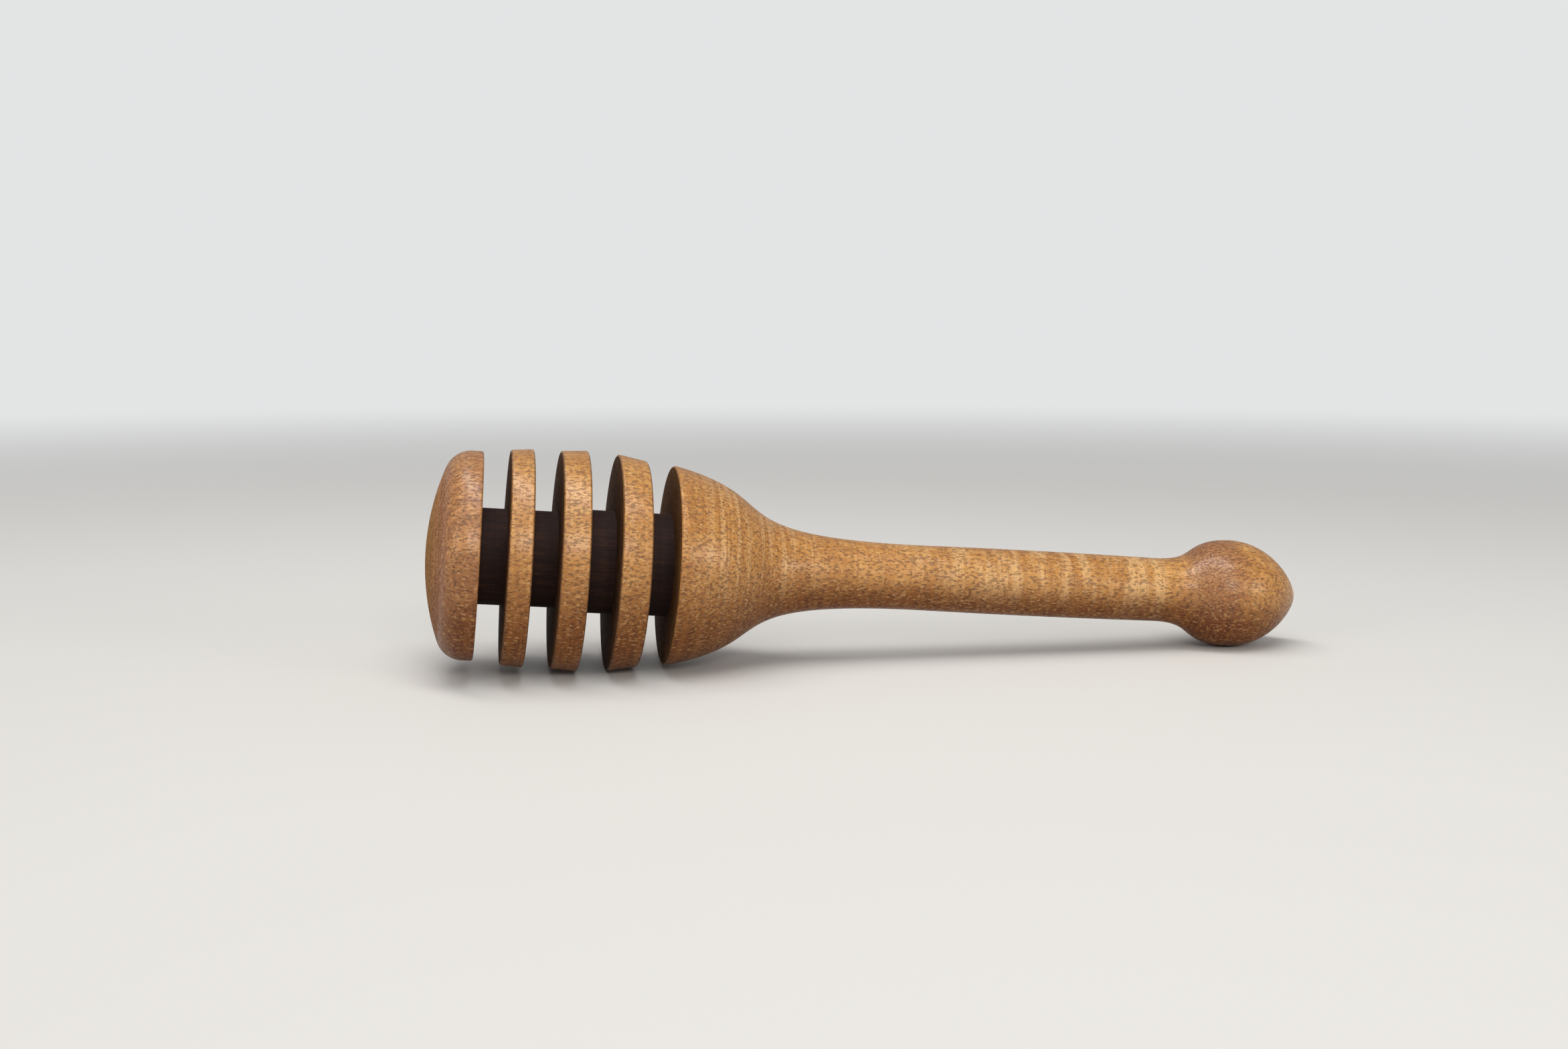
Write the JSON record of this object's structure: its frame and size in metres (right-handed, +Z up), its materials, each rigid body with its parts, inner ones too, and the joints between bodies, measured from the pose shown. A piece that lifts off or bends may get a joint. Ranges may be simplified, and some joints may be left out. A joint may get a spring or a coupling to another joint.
{
  "type": "honey dipper",
  "caption": "Wooden honey dipper with a grooved, disc-shaped head, a slim handle and a ball end, lying on its side",
  "frame": {"origin": "centre of the bounding box on the table, below the dipper as it lies at rest", "axes": "+X from the grooved head toward the ball end along the table, +Z up; the dipper's own axis dips about 4.4 degrees toward the ball end"},
  "size_m": [0.1596, 0.038, 0.0384],
  "materials": {
    "cap_wood": "satin, oiled",
    "disc_wood": "satin, oiled",
    "core_wood": "satin, dark stained",
    "handle_wood": "satin, oiled"
  },
  "bodies": {
    "root": {"end_cap": "cap_wood", "disc_1": "disc_wood", "disc_2": "disc_wood", "disc_3": "disc_wood", "core_dowel": "core_wood", "handle": "handle_wood"}
  },
  "joints": []
}
